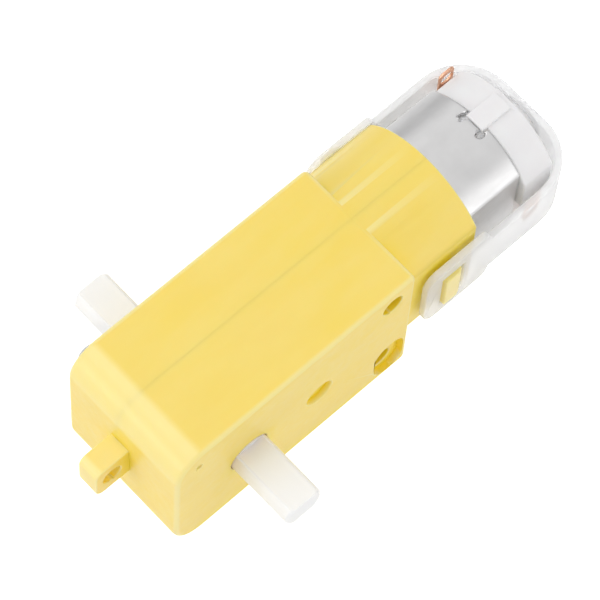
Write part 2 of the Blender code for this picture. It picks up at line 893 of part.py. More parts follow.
# Third compound gear, back on the gear axle.
third = spur(
    "third_gear",
    AXLE_X,
    THIRD_WHEEL_TEETH,
    MODULE,
    WHEEL_ADDENDUM,
    math.pi + math.pi / THIRD_WHEEL_TEETH,
    THIRD_WHEEL,
    "white_nylon",
)
join(
    third,
    spur(
        "third_pinion",
        AXLE_X,
        THIRD_PINION_TEETH,
        LAST_MODULE,
        PINION_ADDENDUM,
        math.pi,
        (THIRD_WHEEL[1] - OVERLAP, THIRD_PINION_END),
    ),
)
bore(third, AXLE_X, GEAR_BORE)
pivot(third, AXLE_X, 0, AXIS_Z)

# Output gear with the left half of the output shaft, and the stub pressed on for the right half.


def double_d(name, side, start, colour):
    """A double-D shaft end from the station start out to the tip, round where it passes through the wall."""
    tip = LEFT_TIP if side > 0 else RIGHT_TIP
    wall = LEFT_REACH if side > 0 else RIGHT_REACH
    profile = [(0, start), (SHAFT_RADIUS, start), (SHAFT_RADIUS, tip - SHAFT_CHAMFER)]
    profile += [(SHAFT_RADIUS - SHAFT_CHAMFER, tip), (0, tip)]
    end = turned(name, "Y", (OUTPUT_X, 0, AXIS_Z), [(r, side * s) for r, s in profile], colour)
    outer = SHAFT_RADIUS + 1
    reach = (wall + SHAFT_ROUND_BEYOND, tip + 1)
    for level in (-1, 1):
        near, far = sorted((level * SHAFT_FLAT, level * outer))
        cut(
            end,
            box(
                f"{name}_flat{level}",
                (OUTPUT_X - outer, OUTPUT_X + outer),
                tuple(sorted(side * station for station in reach)),
                (AXIS_Z + near, AXIS_Z + far),
            ),
        )
    return end


output = double_d("output_gear_shaft", 1, OUTPUT_WHEEL[1] - OVERLAP, "white_nylon")
join(
    output,
    spur(
        "output_wheel",
        OUTPUT_X,
        OUTPUT_TEETH,
        LAST_MODULE,
        WHEEL_ADDENDUM,
        math.pi / OUTPUT_TEETH,
        OUTPUT_WHEEL,
    ),
    rod(
        "output_journal",
        "Y",
        (OUTPUT_X, 0, AXIS_Z),
        JOURNAL_RADIUS,
        (STUB_END + 0.05, OUTPUT_WHEEL[0] + OVERLAP),
        steps=HOLE_STEPS,
    ),
    rod(
        "output_spigot",
        "Y",
        (OUTPUT_X, 0, AXIS_Z),
        SPIGOT_RADIUS,
        (SPIGOT_END, STUB_END + OVERLAP),
        steps=SMALL_STEPS,
    ),
)
pivot(output, OUTPUT_X, 0, AXIS_Z)

stub = double_d("output_shaft_stub", -1, -STUB_END, "white_nylon")
cut(stub, rod(
    "stub_socket",
    "Y",
    (OUTPUT_X, 0, AXIS_Z),
    SPIGOT_RADIUS + PRESS_GAP,
    (SPIGOT_END - 0.2, -7.5),
    steps=SMALL_STEPS),
)
pivot(stub, OUTPUT_X, 0, AXIS_Z)

# Motor rotor: pinion, shaft, three-pole core, coils, commutator.
MOTOR_AXIS = (0, 0, AXIS_Z)


def ring(name, radii, ends, colour, steps=SMALL_STEPS):
    profile = [(radii[0], ends[0]), (radii[1], ends[0]), (radii[1], ends[1]), (radii[0], ends[1])]
    return turned(name, "X", MOTOR_AXIS, profile, colour, steps)


pinion = plate(
    "motor_pinion",
    "X",
    MOTOR_AXIS,
    gear_outline(PINION_TEETH, MODULE, PINION_ADDENDUM, math.pi),
    PINION,
    "white_nylon",
)
cut(pinion, rod("pinion_bore", "X", MOTOR_AXIS, MOTOR_SHAFT_RADIUS + PRESS_GAP, (20, 40), steps=SMALL_STEPS))
pivot(pinion, PINION[0], 0, AXIS_Z)
shaft = rod("motor_shaft", "X", MOTOR_AXIS, MOTOR_SHAFT_RADIUS, MOTOR_SHAFT, "steel", SMALL_STEPS)
pivot(shaft, PINION[0], 0, AXIS_Z)


def pole_outline():
    """Outline of the three-pole core: a hub, three necks and three curved shoes."""
    points = []
    neck_at_hub = math.asin(CORE_NECK_HALF / CORE_HUB_RADIUS)
    neck_at_shoe = math.asin(CORE_NECK_HALF / CORE_SHOE_INNER)
    for pole in range(3):
        middle = math.pi / 2 + 2 * math.pi * pole / 3
        side = [(CORE_HUB_RADIUS, neck_at_hub), (CORE_SHOE_INNER, neck_at_shoe)]
        side.append((CORE_SHOE_INNER + 0.4, CORE_SHOE_HALF_ANGLE))
        side += [(CORE_RADIUS, CORE_SHOE_HALF_ANGLE * share) for share in (1.0, 0.75, 0.5, 0.25)]
        for radius, spread in side:
            points.append((radius * math.cos(middle - spread), radius * math.sin(middle - spread)))
        points.append((CORE_RADIUS * math.cos(middle), CORE_RADIUS * math.sin(middle)))
        for radius, spread in reversed(side):
            points.append((radius * math.cos(middle + spread), radius * math.sin(middle + spread)))
    return points


core = plate("armature_core", "X", MOTOR_AXIS, pole_outline(), CORE, "laminated_steel")
cut(core, rod("core_bore", "X", MOTOR_AXIS, MOTOR_SHAFT_RADIUS + PRESS_GAP, (40, 55), steps=SMALL_STEPS))
pivot(core, CORE[0], 0, AXIS_Z)


def coil(number):
    """The winding round one pole's neck, standing on the local Z axis and turned to its pole."""

    def upright(edge):
        return along(edge, 2)

    wound = box(
        f"coil_{number}",
        (CORE[0] - COIL_OVERHANG, CORE[1] + COIL_OVERHANG),
        (-COIL_HALF_WIDTH, COIL_HALF_WIDTH),
        COIL_RADIAL,
        "enamelled_wire",
        ((upright, COIL_CORNER, 3),),
    )
    neck = CORE_NECK_HALF + COIL_GAP
    window = box(
        f"coil_{number}_window",
        (CORE[0] - COIL_GAP, CORE[1] + COIL_GAP),
        (-neck, neck),
        (0, CORE_RADIUS),
    )
    lift = Matrix.Translation(put(FRAME_X, 0, AXIS_Z))
    down = Matrix.Translation(-put(FRAME_X, 0, 0))
    turn = lift @ Matrix.Rotation(2 * math.pi * number / 3, 4, "X") @ down
    for piece in (wound, window):
        piece.data.transform(turn)
    cut(wound, window)
    pivot(wound, CORE[0], 0, AXIS_Z)


for number in (1, 2, 3):
    coil(number)

hub = ring("commutator_hub", (MOTOR_SHAFT_RADIUS + PRESS_GAP, COMMUTATOR_HUB_RADIUS), COMMUTATOR, "black_resin")
pivot(hub, COMMUTATOR[0], 0, AXIS_Z)
for number in (1, 2, 3):
    middle = 120 * number
    spread = math.degrees(SEGMENT_HALF_ANGLE)
    outline = arc((0, 0), SEGMENT_RADII[1], middle - spread, middle + spread, 8)
    outline += arc((0, 0), SEGMENT_RADII[0], middle + spread, middle - spread, 8)
    segment = plate(f"commutator_segment_{number}", "X", MOTOR_AXIS, outline, SEGMENT, "copper")
    pivot(segment, SEGMENT[0], 0, AXIS_Z)

# Motor stator: can, bushes, washers, magnets.


def flat_sided(name, radius, flat, ends, colour=None, steps=ROUND_STEPS):
    """A round bar along the motor axis with two flat sides."""
    bar = rod(name, "X", MOTOR_AXIS, radius, ends, colour, steps)
    keep(bar, flats(name + "_flats", flat, (ends[0] - 1, ends[1] + 1), "X"))
    return bar


can = rod("motor_can", "X", MOTOR_AXIS, CAN_RADIUS, (CAN_FRONT, CAN_REAR), "plated_steel", FINE_STEPS)
keep(can, flats("can_flats", CAN_FLAT, (CAN_FRONT - 1, CAN_REAR + 1), "X"))
join(can, rod(
    "can_boss",
    "X",
    MOTOR_AXIS,
    CAN_BOSS_RADIUS,
    (CAN_BOSS_FRONT, CAN_FRONT + 0.5),
    steps=HOLE_STEPS),
)
can_inner = CAN_RADIUS - CAN_SHEET
cut(
    can,
    flat_sided(
        "can_hollow",
        can_inner,
        CAN_FLAT - CAN_SHEET,
        (CAN_FRONT + CAN_SHEET, CAN_REAR + 1),
        steps=FINE_STEPS,
    ),
    rod("can_bush_hole", "X", MOTOR_AXIS, BUSH_RADIUS + PRESS_GAP, (30, 40), steps=SMALL_STEPS),
)
for level in (-1, 1):
    through = tuple(sorted((level * RELIEF_INNER, level * THROUGH[1])))
    for across in (-RELIEF_Y, RELIEF_Y):
        relief = rod(
            f"relief{level}{across}",
            "Z",
            (RELIEF_X, across, AXIS_Z),
            RELIEF_RADIUS,
            through,
            steps=TINY_STEPS,
        )
        cut(can, relief)
    notch = box(
        f"notch{level}",
        (RELIEF_X, CAN_REAR + 1),
        (-NOTCH_HALF_WIDTH, NOTCH_HALF_WIDTH),
        tuple(AXIS_Z + station for station in through),
    )
    cut(can, notch)
    crimp = box(
        f"crimp{level}",
        CRIMP_X,
        (-CRIMP_HALF_WIDTH, CRIMP_HALF_WIDTH),
        tuple(sorted(AXIS_Z + level * (CAN_RADIUS - depth) for depth in CRIMP_DEPTHS)),
    )
    join(can, crimp)

ring("front_bush", (BUSH_BORE, BUSH_RADIUS), FRONT_BUSH, "bronze")
ring("rear_bush", (BUSH_BORE, BUSH_RADIUS), REAR_BUSH, "bronze")
ring("front_washer", (BUSH_BORE, WASHER_RADIUS), FRONT_WASHER, "fibre")
ring("rear_washer", (BUSH_BORE, WASHER_RADIUS), REAR_WASHER, "fibre")
for label, middle in (("upper", 90), ("lower", -90)):
    spread = math.degrees(MAGNET_HALF_ANGLE)
    outline = arc((0, 0), MAGNET_RADII[1], middle - spread, middle + spread, 12)
    outline += arc((0, 0), MAGNET_RADII[0], middle + spread, middle - spread, 12)
    plate(f"magnet_{label}", "X", MOTOR_AXIS, outline, MAGNET, "ferrite")

# Endbell: a plug inside the can, a rim behind it, a hollow for the brushes and a boss for the rear bush.
def rim_outline():
    """The endbell's rim seen along the motor axis: flat sides, stepped out over the end of each terminal."""
    half = [
        (ENDBELL_SHOULDER, -ENDBELL_RADIUS - 1),
        (ENDBELL_SHOULDER, ENDBELL_SHOULDER_LEVEL),
        (ENDBELL_FLAT, ENDBELL_SHOULDER_LEVEL),
        (ENDBELL_FLAT, ENDBELL_RADIUS + 1),
    ]
    return half + [(-across, -up) for across, up in half]


rim_ends = (CAN_REAR + 0.05, ENDBELL_REAR)
endbell = rod("endbell", "X", MOTOR_AXIS, ENDBELL_RADIUS, rim_ends, "white_nylon")
keep(endbell, plate("endbell_rim", "X", MOTOR_AXIS, rim_outline(), (CAN_REAR, ENDBELL_REAR + 1)))
key_sides = box(
    "endbell_key_sides",
    (ENDBELL_KEY[0] - 1, ENDBELL_KEY[1] + 1),
    (-ENDBELL_KEY_HALF_WIDTH, ENDBELL_KEY_HALF_WIDTH),
    (0, BODY_HEIGHT + 1),
)
key = rod("endbell_key", "X", MOTOR_AXIS, ENDBELL_KEY_RADIUS, ENDBELL_KEY, steps=FINE_STEPS)
keep(key, key_sides)
join(
    endbell,
    key,
    flat_sided("endbell_plug", ENDBELL_PLUG_RADIUS, ENDBELL_PLUG_FLAT, (ENDBELL_FRONT, CAN_REAR + 1)),
    rod(
        "endbell_boss",
        "X",
        MOTOR_AXIS,
        ENDBELL_BOSS_RADIUS,
        (ENDBELL_REAR - 1, ENDBELL_BOSS_REAR),
        steps=HOLE_STEPS,
    ),
)
cut(
    endbell,
    flat_sided(
        "endbell_hollow",
        ENDBELL_HOLLOW_RADIUS,
        ENDBELL_HOLLOW_FLAT,
        (ENDBELL_FRONT - 1, ENDBELL_FLOOR),
    ),
    rod("endbell_bush_hole", "X", MOTOR_AXIS, BUSH_RADIUS + PRESS_GAP, ENDBELL_BUSH_HOLE, steps=SMALL_STEPS),
)


def ribbon(points, thick):
    """Closed outline of a strip of the given thickness that follows the points."""
    left_side = []
    right_side = []
    for i, point in enumerate(points):
        before = Vector(points[max(i - 1, 0)])
        after = Vector(points[min(i + 1, len(points) - 1)])
        run = after - before
        normal = Vector((-run.y, run.x)).normalized() * thick / 2
        left_side.append((point[0] + normal.x, point[1] + normal.y))
        right_side.append((point[0] - normal.x, point[1] - normal.y))
    return left_side + right_side[::-1]


for label, side in (("left", 1), ("right", -1)):
    half = TERMINAL_SHEET / 2
    sheet = tuple(sorted((side * (TERMINAL_Y - half), side * (TERMINAL_Y + half))))

    end = AXIS_Z + side * TERMINAL_REACH

    def tip(edge):
        return along(edge, 1) and both(edge, 2, end)

    terminal = box(
        f"terminal_{label}",
        TERMINAL_X,
        sheet,
        tuple(sorted((AXIS_Z - side * TERMINAL_ARM_HALF_HEIGHT, end))),
        "copper",
        ((tip, TERMINAL_CORNER, 3),),
    )
    path = [(x - FRAME_X, side * y) for x, y in TERMINAL_ARM_PATH]
    arm = plate(
        f"brush_arm_{label}",
        "Z",
        (FRAME_X, 0, AXIS_Z),
        ribbon(path, TERMINAL_SHEET),
        (TERMINAL_ARM_INSET - TERMINAL_ARM_HALF_HEIGHT, TERMINAL_ARM_HALF_HEIGHT - TERMINAL_ARM_INSET),
    )
    join(terminal, arm)
    eye = rod(
        f"terminal_eye_{label}",
        "Y",
        (sum(TERMINAL_X) / 2, 0, end - side * TERMINAL_EYE_BACK),
        TERMINAL_EYE_RADIUS,
        THROUGH,
        steps=TINY_STEPS,
    )
    cut(terminal, eye)
    wall = tuple(sorted((side * ENDBELL_SLOT_START, side * TERMINAL_Y)))
    slot_x = TERMINAL_ARM_PATH[0][0]
    slot = box(
        f"endbell_slot_{label}",
        (slot_x - half - SLOT_SLACK, slot_x + half + SLOT_SLACK),
        wall,
        (AXIS_Z - TERMINAL_ARM_HALF_HEIGHT - SLOT_SLACK, AXIS_Z + TERMINAL_ARM_HALF_HEIGHT + SLOT_SLACK),
    )
    pocket = box(
        f"endbell_pocket_{label}",
        (TERMINAL_X[0] - SLOT_SLACK, TERMINAL_X[1] + SLOT_SLACK),
        (sheet[0] - SLOT_SLACK, sheet[1] + SLOT_SLACK),
        tuple(sorted((AXIS_Z - side * (TERMINAL_ARM_HALF_HEIGHT + SLOT_SLACK), end))),
    )
    cut(endbell, slot, pocket)
    box(
        f"brush_{label}",
        BRUSH_X,
        tuple(sorted(side * y for y in BRUSH_Y)),
        (AXIS_Z - BRUSH_HALF_HEIGHT, AXIS_Z + BRUSH_HALF_HEIGHT),
        "carbon",
    )

# Clear strap: a U seen from above, a window on each hook and a hole for the endbell's boss.


def strap_outline():
    outer = STRAP_FACE
    inner = STRAP_FACE - STRAP_SHEET
    middle_x = STRAP_REAR - STRAP_BEND
    tight = STRAP_BEND - STRAP_SHEET
    points = [(STRAP_FRONT, -outer)]
    points += arc((middle_x, STRAP_BEND - outer), STRAP_BEND, -90, 0, 10)
    points += arc((middle_x, outer - STRAP_BEND), STRAP_BEND, 0, 90, 10)
    points += [(STRAP_FRONT, outer), (STRAP_FRONT, inner)]
    points += arc((middle_x, outer - STRAP_BEND), tight, 90, 0, 10)
    points += arc((middle_x, STRAP_BEND - outer), tight, 0, -90, 10)
    points += [(STRAP_FRONT, -inner)]
    return [(x - FRAME_X, y) for x, y in points]


strap = plate(
    "retaining_strap",
    "Z",
    (FRAME_X, 0, AXIS_Z),
    strap_outline(),
    (-STRAP_HEAD_HALF_HEIGHT, STRAP_HEAD_HALF_HEIGHT),
    "clear_plastic",
)


def strap_side_outline():
    """The strap seen from the side: a tall rounded head over the hooks, then the narrower arms."""
    head = STRAP_HEAD_HALF_HEIGHT
    arm = STRAP_HALF_HEIGHT
    points = arc((STRAP_FRONT + STRAP_CORNER, STRAP_CORNER - head), STRAP_CORNER, 270, 180)
    points += arc((STRAP_FRONT + STRAP_CORNER, head - STRAP_CORNER), STRAP_CORNER, 180, 90)
    points += [
        (STRAP_HEAD_END - STRAP_STEP, head),
        (STRAP_HEAD_END, head - STRAP_STEP),
        (STRAP_HEAD_END + STRAP_STEP, arm),
    ]
    points += [(STRAP_REAR + 1, arm), (STRAP_REAR + 1, -arm)]
    points += [
        (STRAP_HEAD_END + STRAP_STEP, -arm),
        (STRAP_HEAD_END, STRAP_STEP - head),
        (STRAP_HEAD_END - STRAP_STEP, -head),
    ]
    return points


keep(strap, plate("strap_side", "Y", (0, 0, AXIS_Z), strap_side_outline(), (-STRAP_ACROSS, STRAP_ACROSS)))
cut(
    strap,
    box(
        "strap_window",
        STRAP_WINDOW,
        (-STRAP_ACROSS, STRAP_ACROSS),
        (AXIS_Z - STRAP_WINDOW_HALF_HEIGHT, AXIS_Z + STRAP_WINDOW_HALF_HEIGHT),
    ),
    rod("strap_hole", "X", MOTOR_AXIS, STRAP_HOLE_RADIUS, (ENDBELL_REAR, STRAP_REAR + 1), steps=HOLE_STEPS),
)

for obj in SHOWN.objects:
    obj.data.shade_smooth()
    obj.data.set_sharp_from_angle(angle=math.radians(30))
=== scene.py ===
"""The looks of a geared dc motor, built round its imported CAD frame."""

import json
import math

import bmesh
import bpy
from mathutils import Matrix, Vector


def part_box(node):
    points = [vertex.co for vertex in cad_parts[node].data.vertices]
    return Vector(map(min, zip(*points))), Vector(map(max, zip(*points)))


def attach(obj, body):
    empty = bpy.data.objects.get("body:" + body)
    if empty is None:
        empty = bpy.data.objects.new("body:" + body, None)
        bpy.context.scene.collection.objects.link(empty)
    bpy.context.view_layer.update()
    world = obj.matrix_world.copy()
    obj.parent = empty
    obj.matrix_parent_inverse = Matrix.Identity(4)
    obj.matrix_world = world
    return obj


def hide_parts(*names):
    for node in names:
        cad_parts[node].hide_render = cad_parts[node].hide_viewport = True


MM = 0.001

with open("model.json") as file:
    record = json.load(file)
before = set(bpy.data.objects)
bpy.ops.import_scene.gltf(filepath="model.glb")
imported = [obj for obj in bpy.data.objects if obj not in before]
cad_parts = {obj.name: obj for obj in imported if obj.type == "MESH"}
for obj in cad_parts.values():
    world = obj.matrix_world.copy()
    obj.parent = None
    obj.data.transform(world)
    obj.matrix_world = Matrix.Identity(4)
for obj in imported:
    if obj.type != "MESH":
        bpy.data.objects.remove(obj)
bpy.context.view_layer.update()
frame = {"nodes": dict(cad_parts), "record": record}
scene = bpy.context.scene

# ---------------------------------------------------------------- planes read from the frame
motor_low, motor_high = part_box("motor_shaft")
MOTOR_Y = (motor_low.y + motor_high.y) / 2
FRONT_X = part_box("housing_right_shell")[0].x

# ---------------------------------------------------------------- materials
AO_SAMPLES = 8
NOISE_ROUGHNESS = 0.55
GRAIN_SPAN = 0.08  # how far a fine grain moves the roughness each way
# the Mix node's colour sockets, whose names its other sockets share
COLOUR_A, COLOUR_B, COLOUR_OUT = 6, 7, 2


class Shader:
    """A Principled material and short calls that wire procedural detail into it."""

    def __init__(self, name, colour, roughness, metallic=0.0, **sockets):
        self.material = bpy.data.materials.new(name)
        self.material.use_nodes = True
        self.tree = self.material.node_tree
        self.bsdf = self.tree.nodes["Principled BSDF"]
        self.coords = self.tree.nodes.new("ShaderNodeTexCoord").outputs["Object"]
        self.bsdf.inputs["Base Color"].default_value = (*colour, 1)
        self.bsdf.inputs["Roughness"].default_value = roughness
        self.bsdf.inputs["Metallic"].default_value = metallic
        for socket, value in sockets.items():
            self.bsdf.inputs[socket.replace("_", " ")].default_value = value
        self.relief = None

    def node(self, kind, **settings):
        made = self.tree.nodes.new("ShaderNode" + kind)
        for key, value in settings.items():
            setattr(made, key, value)
        return made

    def link(self, source, target):
        self.tree.links.new(source, target)

    def noise(self, per_mm, detail=3.0, stretch=(1, 1, 1)):
        """Noise of about per_mm features a millimetre, finer along an axis stretched over 1."""
        mapping = self.node("Mapping")
        mapping.inputs["Scale"].default_value = stretch
        self.link(self.coords, mapping.inputs["Vector"])
        texture = self.node("TexNoise")
        texture.inputs["Scale"].default_value = per_mm / MM
        texture.inputs["Detail"].default_value = detail
        texture.inputs["Roughness"].default_value = NOISE_ROUGHNESS
        self.link(mapping.outputs["Vector"], texture.inputs["Vector"])
        return texture.outputs["Fac"]

    def spread(self, value, low, high, start=0.3, end=0.7):
        """The value's range from start to end laid over low to high."""
        ranged = self.node("MapRange")
        rows = (("From Min", start), ("From Max", end), ("To Min", low), ("To Max", high))
        for socket, number in rows:
            ranged.inputs[socket].default_value = number
        self.link(value, ranged.inputs["Value"])
        return ranged.outputs["Result"]

    def openness(self, reach_mm):
        """1 on open surface, less in a hollow or a corner."""
        probe = self.node("AmbientOcclusion", samples=AO_SAMPLES)
        probe.inputs["Distance"].default_value = reach_mm * MM
        return probe.outputs["AO"]

    def blend(self, factor, first, second):
        """A colour that goes from first to second with the factor; either may be a socket."""
        mix = self.node("Mix", data_type="RGBA")
        self.link(factor, mix.inputs["Factor"])
        for place, colour in ((COLOUR_A, first), (COLOUR_B, second)):
            if isinstance(colour, tuple):
                mix.inputs[place].default_value = (*colour, 1)
            else:
                self.link(colour, mix.inputs[place])
        return mix.outputs[COLOUR_OUT]

    def paint(self, colour):
        self.link(colour, self.bsdf.inputs["Base Color"])

    def rough(self, value):
        self.link(value, self.bsdf.inputs["Roughness"])

    def bump(self, value, depth_mm):
        """Adds relief of the given depth in millimetres on top of what is there."""
        bump = self.node("Bump")
        bump.inputs["Distance"].default_value = depth_mm * MM
        bump.inputs["Strength"].default_value = 1.0
        self.link(value, bump.inputs["Height"])
        if self.relief:
            self.link(self.relief, bump.inputs["Normal"])
        self.relief = bump.outputs["Normal"]
        self.link(self.relief, self.bsdf.inputs["Normal"])


def yellow_abs():
    """Moulded yellow: cloudy and drawn tones, with painted shade deepening it in hollows and a
    painted highlight lightening it round outer curves.
    """
    plain, cloudy, drawn = (0.95, 0.71, 0.115), (0.94, 0.705, 0.15), (0.955, 0.73, 0.165)
    # painted shade colour for hollows and corners, and painted highlight colour for outer curves
    hollow, painted_highlight = (0.99, 0.77, 0.015), (0.97, 0.83, 0.36)
    made = Shader(
        "yellow_abs",
        (0.95, 0.71, 0.16),
        roughness=0.4,
        Subsurface_Weight=0.22,
        Subsurface_Scale=1.0 * MM,
        Subsurface_Radius=(1.0, 0.75, 0.25),
        Coat_Weight=0.26,
        Coat_Roughness=0.3,
        IOR=1.52,
    )
    cloud = made.spread(made.noise(per_mm=0.07, detail=2.0), 0, 1, start=0.35, end=0.65)
    flow = made.noise(per_mm=0.3, detail=4.0, stretch=(0.35, 1, 1))
    flow = made.spread(flow, 0, 1, start=0.35, end=0.7)
    base = made.blend(cloud, plain, cloudy)
    base = made.blend(flow, base, drawn)
    # painted shade: the yellow deepens and saturates where the AO probe finds a hollow or a corner
    depth = made.spread(made.openness(reach_mm=3.6), 0.95, 0, start=0.45, end=0.94)
    base = made.blend(depth, base, hollow)
    # painted highlight: the yellow turns whiter where the "curved" attribute marks a tight outer
    # curve
    painted_highlight_mask = made.node("Attribute", attribute_name="curved").outputs["Fac"]
    made.paint(made.blend(made.spread(painted_highlight_mask, 0, 0.75, start=0, end=1), base, painted_highlight))
    made.rough(made.spread(made.noise(per_mm=0.9), 0.34, 0.48))
    made.bump(made.noise(per_mm=7.0, detail=2.0), depth_mm=0.005)
    made.bump(made.noise(per_mm=0.25, detail=2.0), depth_mm=0.03)
    return made.material


def white_nylon(name, colour, other, shade=(0.82, 0.66, 0.54)):
    """Moulded white in two cloudy tones, with painted shade of the given colour in hollows."""
    made = Shader(
        name,
        colour,
        roughness=0.36,
        Subsurface_Weight=0.35,
        Subsurface_Scale=1.0 * MM,
        Subsurface_Radius=(1.0, 0.95, 0.9),
        IOR=1.53,
    )
    cloud = made.spread(made.noise(per_mm=0.25), 0, 1)
    base = made.blend(cloud, colour, other)
    # painted shade: where the AO probe finds a hollow the colour turns to the shade colour, by
    # default tan as painted bounce light from the yellow body
    depth = made.spread(made.openness(reach_mm=4.0), 0.8, 0, start=0.3, end=0.85)
    made.paint(made.blend(depth, base, shade))
    made.rough(made.spread(made.noise(per_mm=1.1), 0.3, 0.44))
    made.bump(made.noise(per_mm=6.0, detail=2.0), depth_mm=0.004)
    return made.material


def clear_plastic():
    """Milky clear plastic with faint flow waves."""
    made = Shader(
        "clear_plastic",
        (0.96, 0.96, 0.965),
        roughness=0.35,
        Alpha=0.58,
        Subsurface_Weight=0.6,
        Subsurface_Scale=2.0 * MM,
        Subsurface_Radius=(1.0, 1.0, 1.0),
    )
    cloud = made.spread(made.noise(per_mm=0.2), 0, 1)
    made.paint(made.blend(cloud, (0.955, 0.95, 0.96), (0.925, 0.93, 0.935)))
    made.rough(made.spread(made.noise(per_mm=0.6, detail=4.0), 0.28, 0.42))
    made.bump(made.noise(per_mm=0.5, detail=2.0), depth_mm=0.015)
    return made.material


def metal(name, colour, other, rough, stretch, per_mm=2.0, depth_mm=0.002):
    """A metal with drawn or ground streaks; rough is their range and stretch their direction."""
    low, high = rough
    made = Shader(name, colour, (low + high) / 2, metallic=1.0)
    streak = made.noise(per_mm, 4.0, stretch)
    cloud = made.spread(made.noise(per_mm=0.35), 0, 1)
    made.paint(made.blend(cloud, colour, other))
    made.rough(made.spread(streak, low, high))
    made.bump(streak, depth_mm)
    return made.material


def dull(name, colour, other, roughness, per_mm=1.5):
    """A matt solid with a fine grain."""
    made = Shader(name, colour, roughness)
    cloud = made.spread(made.noise(per_mm, 4.0), 0, 1)
    made.paint(made.blend(cloud, colour, other))
    grain = made.noise(per_mm * 2, 2.0)
    made.rough(made.spread(grain, roughness - GRAIN_SPAN, roughness + GRAIN_SPAN))
    made.bump(made.noise(per_mm * 4, 2.0), depth_mm=0.01)
    return made.material


MATERIALS = {
    "yellow_abs": yellow_abs(),
    "white_nylon": white_nylon("white_nylon", (0.95, 0.955, 0.965), (0.93, 0.935, 0.945)),
    "steel": metal(
        "steel", (0.62, 0.63, 0.65), (0.5, 0.51, 0.53), rough=(0.18, 0.34), stretch=(1, 1, 6)
    ),
    "plated_steel": metal(
        "plated_steel",
        (0.74, 0.735, 0.735),
        (0.69, 0.685, 0.685),
        rough=(0.34, 0.42),
        stretch=(0.3, 2, 2),
        per_mm=1.0,
        depth_mm=0.0008,
    ),
    "bronze": metal(
        "bronze",
        (0.55, 0.36, 0.16),
        (0.42, 0.27, 0.12),
        rough=(0.35, 0.55),
        stretch=(1, 1, 1),
        per_mm=4.0,
        depth_mm=0.01,
    ),
    "copper": metal(
        "copper", (0.93, 0.55, 0.37), (0.85, 0.46, 0.29), rough=(0.25, 0.42), stretch=(1, 1, 4)
    ),
    "enamelled_wire": metal(
        "enamelled_wire",
        (0.62, 0.24, 0.08),
        (0.5, 0.17, 0.05),
        rough=(0.2, 0.35),
        stretch=(6, 1, 1),
        per_mm=1.2,
        depth_mm=0.05,
    ),
    "laminated_steel": metal(
        "laminated_steel",
        (0.36, 0.37, 0.39),
        (0.28, 0.28, 0.3),
        rough=(0.35, 0.5),
        stretch=(8, 0.2, 0.2),
        per_mm=0.5,
        depth_mm=0.03,
    ),
    "ferrite": dull("ferrite", (0.06, 0.06, 0.065), (0.1, 0.1, 0.105), 0.6),
    "black_resin": dull("black_resin", (0.03, 0.03, 0.032), (0.05, 0.05, 0.052), 0.5),
    "carbon": dull("carbon", (0.07, 0.07, 0.075), (0.12, 0.12, 0.12), 0.55),
    "fibre": dull("fibre", (0.42, 0.27, 0.15), (0.52, 0.36, 0.2), 0.7),
    "clear_plastic": clear_plastic(),
}
# the endbell's two cloudy tones, then the colour of its painted shade in hollows
ENDBELL_TONES_AND_SHADE = ((0.855, 0.835, 0.845), (0.88, 0.88, 0.88), (0.98, 0.975, 0.97))
LOOKS = {"endbell": white_nylon("endbell_nylon", *ENDBELL_TONES_AND_SHADE)}
SLOT_OF = {row["node"]: row["material_slot"] for row in frame["record"]["subparts"]}

# ---------------------------------------------------------------- refined copies of the CAD solids
FAR = 1.0  # metres: longer than anything on the part
WELD = 0.002 * MM
COPLANAR = math.radians(0.6)
SHARP = math.radians(38)

# the two shells' shared planes: how close to one a vertex counts as on it, and the gap left there
SEAM_REACH = 0.03 * MM
TAB_REACH = 0.08 * MM
SEAM = 0.0015 * MM
SEAMED = ("housing_left_shell", "housing_right_shell")

# the rounding of outer edges, in millimetres
PLAIN_EASE = 0.05
EASE = {
    "housing_left_shell": 0.2,
    "housing_right_shell": 0.2,
    "output_gear_shaft": 0.1,
    "output_shaft_stub": 0.1,
    "motor_can": 0.42,
    "endbell": 0.25,
    "retaining_strap": 0.2,
    "terminal_left": 0.07,
    "terminal_right": 0.07,
    "housing_screw_upper": 0.08,
    "housing_screw_lower": 0.08,
}
EASE_SEGMENTS = 3
LENGTHWISE = ("output_gear_shaft", "output_shaft_stub")
FACE_ROOM = 2.2  # a rounding takes at most 1 / 2.2 of the face beside it
END_ROOM = 1.2  # and at most 1 / 1.2 of the edges at its ends
LEAST_ROOM = 0.25  # an edge with room for less than this share of its rounding stays crisp
PLACES_ALONG = (0.1, 0.5, 0.9)  # where along an edge its room is measured
# cosines between two directions
ACROSS = 0.7  # a gap counts as beside an edge below this
STRAIGHT_ON = -0.8  # the next edge goes straight on below this
ALONG_SHAFT = 0.99  # an edge runs along the shaft from this on

# the "curved" attribute: radians a millimetre where it starts and how many more fill it
CURVE_START = 0.12
CURVE_SPAN = 0.14
WIDE_FLAT = 15 * MM**2


def body_of(node):
    bodies = frame["record"]["behaviour"]["bodies"]
    return next(body for body, nodes in bodies.items() if node in nodes)


def nearest_on(a, b, point):
    """The point of the segment a to b that is nearest to the given one."""
    along = b - a
    share = max(0.0, min(1.0, (point - a).dot(along) / along.length_squared))
    return a + along * share


def clearance(edge):
    """How far the faces beside an edge run, at their narrowest, before they meet another edge."""
    first, second = (v.co for v in edge.verts)
    direction = (second - first).normalized()
    best = FAR
    for share in PLACES_ALONG:
        point = first.lerp(second, share)
        for face in edge.link_faces:
            for other in face.edges:
                if other is edge:
                    continue
                across = nearest_on(other.verts[0].co, other.verts[1].co, point) - point
                if abs(across.dot(direction)) < ACROSS * across.length:
                    best = min(best, across.length)
    return best


